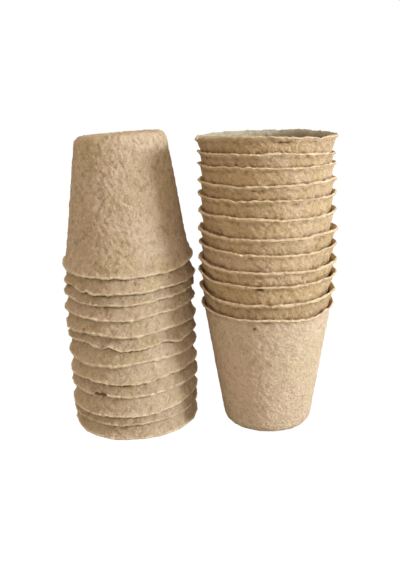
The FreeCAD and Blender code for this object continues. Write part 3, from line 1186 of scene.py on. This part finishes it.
class Tree:
    """Short names for the nodes that a material's tree repeats."""

    ASIDE = (1.0, 0.7, -1.0)

    def __init__(self, nodes: bpy.types.Nodes, links: bpy.types.NodeLinks) -> None:
        """Keeps the node and link lists of one tree."""
        self.nodes = nodes
        self.links = links

    def add(self, kind: str) -> bpy.types.Node:
        """Adds one node of that kind."""
        return self.nodes.new(kind)

    def read(self, name: str, output: str) -> bpy.types.NodeSocket:
        """Reads what the mesh holds for each vertex.

        Args:
            name: The name that it is stored under.
            output: Fac for a number, Vector for a place.

        Returns:
            The socket that gives it.
        """
        node = self.add("ShaderNodeAttribute")
        node.attribute_name = name
        return node.outputs[output]

    def noise(
        self, spot: bpy.types.NodeSocket, scale: float, detail: float, roughness: float = 0.55,
        shift: float = 0.0,
    ) -> bpy.types.NodeSocket:
        """Noise in space.

        Args:
            spot: Where the noise is read.
            scale: How many lumps it has in a metre.
            detail: How many finer layers are added.
            roughness: How strong the finer layers are.
            shift: How far it is moved aside, so that no two layers agree.

        Returns:
            The noise, from 0 to 1.
        """
        place = self.add("ShaderNodeMapping")
        place.inputs["Location"].default_value = tuple(shift * share for share in self.ASIDE)
        self.links.new(spot, place.inputs["Vector"])
        node = self.add("ShaderNodeTexNoise")
        node.inputs["Scale"].default_value = scale
        node.inputs["Detail"].default_value = detail
        node.inputs["Roughness"].default_value = roughness
        self.links.new(place.outputs["Vector"], node.inputs["Vector"])
        return node.outputs["Fac"]

    def math(self, operation: str, *values: "float | bpy.types.NodeSocket") -> bpy.types.NodeSocket:
        """One math node on numbers or sockets.

        Args:
            operation: What the node works out.
            values: Its inputs, in order.

        Returns:
            The result.
        """
        node = self.add("ShaderNodeMath")
        node.operation = operation
        for socket, value in zip(node.inputs, values):
            if isinstance(value, bpy.types.NodeSocket):
                self.links.new(value, socket)
            else:
                socket.default_value = value
        return node.outputs[0]

    def scaled(self, value: bpy.types.NodeSocket, share: float) -> bpy.types.NodeSocket:
        """A value times a share."""
        return self.math("MULTIPLY", value, share)

    def total(self, values: list[bpy.types.NodeSocket]) -> bpy.types.NodeSocket:
        """The sum of several values.

        Args:
            values: What is added up.

        Returns:
            The sum.
        """
        result = values[0]
        for value in values[1:]:
            result = self.math("ADD", result, value)
        return result

    def ramp(
        self, value: bpy.types.NodeSocket, start: float, end: float, height: float = 1.0
    ) -> bpy.types.NodeSocket:
        """Maps a value from start to end onto 0 to a height, smoothly.

        Args:
            value: What is mapped.
            start: The value that gives 0.
            end: The value that gives the height, below the start for a falling ramp.
            height: The most that comes out.

        Returns:
            The mapped value.
        """
        node = self.add("ShaderNodeMapRange")
        node.interpolation_type = "SMOOTHSTEP"
        node.inputs["From Min"].default_value = start
        node.inputs["From Max"].default_value = end
        node.inputs["To Max"].default_value = height
        self.links.new(value, node.inputs["Value"])
        return node.outputs["Result"]

    def strand(self, value: bpy.types.NodeSocket, half_width: float) -> bpy.types.NodeSocket:
        """Thin curling lines where a noise passes its middle."""
        away = self.math("ABSOLUTE", self.math("SUBTRACT", value, 0.5))
        return self.ramp(away, half_width, 0.0)

    def mix(
        self, share: bpy.types.NodeSocket, first: bpy.types.NodeSocket,
        second: bpy.types.NodeSocket,
    ) -> bpy.types.NodeSocket:
        """Mixes two colours.

        Args:
            share: How much of the second colour is used.
            first: The first colour.
            second: The second colour.

        Returns:
            The mixed colour.
        """
        node = self.add("ShaderNodeMix")
        node.data_type = "RGBA"
        self.links.new(share, node.inputs["Factor"])
        sockets = [socket for socket in node.inputs if socket.type == "RGBA"]
        for socket, colour in zip(sockets, (first, second)):
            self.links.new(colour, socket)
        return next(socket for socket in node.outputs if socket.type == "RGBA")


@dataclass(frozen=True)
class Lamp:
    """A square lamp that faces the pots: its place and side in metres, its power and colour."""

    name: str
    place: tuple[float, float, float]
    side: float
    watts: float
    colour: tuple[float, float, float]


class Studio:
    """Camera, lamps, floor and background."""

    CAMERA_PLACE = (-0.0338, -0.39564, 0.20054)
    CAMERA_YAW = math.radians(5.12)
    CAMERA_PITCH = math.radians(15.63)
    CAMERA_ROLL = math.radians(-1.79)
    FOCAL_PIXELS = 643.4
    LONG_SIDE_PIXELS = 570
    SENSOR = 36.0
    LAMP_AIM = Vector((0.0, 0.0, 0.09))
    LAMPS = (
        Lamp("key", (0.73, -0.40, 0.37), side=0.18, watts=7.05, colour=(0.88, 0.97, 1.0)),
        Lamp("front", (0.26, -0.84, 0.42), side=0.5, watts=1.0, colour=(1.0, 0.97, 0.90)),
        Lamp("top", (-0.25, -0.2, 0.95), side=0.6, watts=1.2, colour=(1.0, 0.98, 0.92)),
    )
    FILL_COLOUR = (1.0, 0.84, 0.615)
    FILL_STRENGTH = 0.70
    FLOOR_COLOUR = (0.48, 0.45, 0.41)
    FLOOR_GLOW = 1.12
    FLOOR_GLOW_SHARE = 0.9
    FLOOR_HALF_SIDE = 3.0
    FLOOR_DROP = 0.1 * MM

    def build(self) -> None:
        """Makes all of it."""
        self._camera()
        for lamp in self.LAMPS:
            self._hang(lamp)
        self._world()
        self._floor()

    def _camera(self) -> None:
        """Stands the camera where the photograph was taken from."""
        data = bpy.data.cameras.new("camera")
        data.sensor_width = self.SENSOR
        data.lens = self.FOCAL_PIXELS / self.LONG_SIDE_PIXELS * self.SENSOR
        camera = bpy.data.objects.new("camera", data)
        turn = Euler((math.pi / 2 - self.CAMERA_PITCH, 0.0, -self.CAMERA_YAW)).to_matrix()
        roll = Matrix.Rotation(self.CAMERA_ROLL, 3, "Z")
        camera.matrix_world = Matrix.LocRotScale(Vector(self.CAMERA_PLACE), turn @ roll, None)
        bpy.context.scene.collection.objects.link(camera)
        bpy.context.scene.camera = camera

    def _hang(self, lamp: Lamp) -> None:
        """Hangs a lamp and turns it to the pots.

        Args:
            lamp: Its place, side and light.
        """
        data = bpy.data.lights.new(lamp.name, "AREA")
        data.size = lamp.side
        data.energy = lamp.watts
        data.color = lamp.colour
        piece = bpy.data.objects.new(lamp.name, data)
        place = Vector(lamp.place)
        turn = (place - self.LAMP_AIM).to_track_quat("Z", "Y")
        piece.matrix_world = Matrix.LocRotScale(place, turn, None)
        bpy.context.scene.collection.objects.link(piece)

    @staticmethod
    def _seen(tree: Tree) -> bpy.types.NodeSocket:
        """Where the camera looks, or a mirror or glass shows the same.

        Args:
            tree: The tree that asks.

        Returns:
            1 for such a look, and 0 for the light that falls on the pots.
        """
        paths = tree.add("ShaderNodeLightPath").outputs
        seen = tree.math("MAXIMUM", paths["Is Camera Ray"], paths["Is Glossy Ray"])
        return tree.math("MAXIMUM", seen, paths["Is Transmission Ray"])

    def _world(self) -> None:
        """A soft warm fill that the camera sees as white."""
        world = bpy.data.worlds.new("studio")
        bpy.context.scene.world = world
        world.use_nodes = True
        tree = Tree(world.node_tree.nodes, world.node_tree.links)
        tree.nodes.clear()
        fill = tree.add("ShaderNodeBackground")
        fill.inputs["Color"].default_value = (*self.FILL_COLOUR, 1.0)
        fill.inputs["Strength"].default_value = self.FILL_STRENGTH
        white = tree.add("ShaderNodeBackground")
        white.inputs["Color"].default_value = (1.0, 1.0, 1.0, 1.0)
        mix = tree.add("ShaderNodeMixShader")
        tree.links.new(self._seen(tree), mix.inputs[0])
        tree.links.new(fill.outputs[0], mix.inputs[1])
        tree.links.new(white.outputs[0], mix.inputs[2])
        output = tree.add("ShaderNodeOutputWorld")
        tree.links.new(mix.outputs[0], output.inputs["Surface"])

    def _floor(self) -> None:
        """A pale floor that keeps a faint shadow."""
        bm = bmesh.new()
        bmesh.ops.create_grid(bm, x_segments=1, y_segments=1, size=self.FLOOR_HALF_SIDE)
        bmesh.ops.translate(bm, verts=bm.verts, vec=(0.0, 0.0, -self.FLOOR_DROP))
        mesh = bpy.data.meshes.new("floor")
        bm.to_mesh(mesh)
        bm.free()
        floor = bpy.data.objects.new("floor", mesh)
        bpy.context.scene.collection.objects.link(floor)
        material = bpy.data.materials.new("floor")
        material.use_nodes = True
        tree = Tree(material.node_tree.nodes, material.node_tree.links)
        tree.nodes.clear()
        matt = tree.add("ShaderNodeBsdfDiffuse")
        matt.inputs["Color"].default_value = (*self.FLOOR_COLOUR, 1.0)
        white = tree.add("ShaderNodeEmission")
        white.inputs["Strength"].default_value = self.FLOOR_GLOW
        mix = tree.add("ShaderNodeMixShader")
        tree.links.new(tree.scaled(self._seen(tree), self.FLOOR_GLOW_SHARE), mix.inputs[0])
        tree.links.new(matt.outputs[0], mix.inputs[1])
        tree.links.new(white.outputs[0], mix.inputs[2])
        output = tree.add("ShaderNodeOutputMaterial")
        tree.links.new(mix.outputs[0], output.inputs["Surface"])
        mesh.materials.append(material)


class PotSet:
    """Both stacks, built and dressed."""

    SLOT = "moulded_fibre"
    BANDED = Fineness(
        eighth_steps=40, band_row=0.62 * MM, wall_row=4.0 * MM, inner_band_row=2.0 * MM,
        inner_wall_row=6.0 * MM,
    )
    WHOLE = Fineness(
        eighth_steps=48, band_row=0.6 * MM, wall_row=0.6 * MM, inner_band_row=2.0 * MM,
        inner_wall_row=6.0 * MM,
    )

    def __init__(self) -> None:
        """Spins the two blanks and counts the pots of each stack."""
        self.mould = Mould()
        self.banded = Blank(self.mould, self.BANDED, "banded")
        self.whole = Blank(self.mould, self.WHOLE, "whole")
        self.counts = {
            stack: sum(node.startswith(stack.value) for node in frame["nodes"]) for stack in Stack
        }
        felt = Felt()
        self.finishes = {batch: batch.value.build(felt) for batch in Batch}

    def _batch(self, pot: Pot) -> Batch:
        """The batch of pulp that a pot was pressed from.

        Args:
            pot: The pot.

        Returns:
            Its batch.
        """
        if pot.stack is Stack.INVERTED:
            return Batch.TAN
        return Batch.ROSY if pot.level == 1 else Batch.GOLDEN

    def build(self) -> None:
        """Builds every pot in order and reports it."""
        for stack, count in self.counts.items():
            pots = [Pot(stack, level, count) for level in range(1, count + 1)]
            for index, pot in enumerate(pots):
                inward = 1 if stack is Stack.UPRIGHT else -1
                inner, outer = (
                    pots[other] if 0 <= other < count else None
                    for other in (index + inward, index - inward)
                )
                wall = pot.wall(self.mould, inner)
                blank = self.whole if pot.exposed else self.banded
                piece = pot.build(blank, wall, outer)
                piece.data.materials.append(self.finishes[self._batch(pot)])
                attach(piece, pot.node)
                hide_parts(pot.node)
                faces = len(piece.data.polygons)
                LOG.info("%s: sheet %.2f mm, %d faces", piece.name, wall / MM, faces)
        for blank in (self.banded, self.whole):
            bpy.data.meshes.remove(blank.mesh)


def main() -> None:
    """Builds the studio and the pots."""
    logging.basicConfig(level=logging.INFO, format="%(name)s: %(message)s")
    bpy.context.scene.view_settings.view_transform = "Standard"
    Studio().build()
    PotSet().build()


if __name__ == "__main__":
    main()
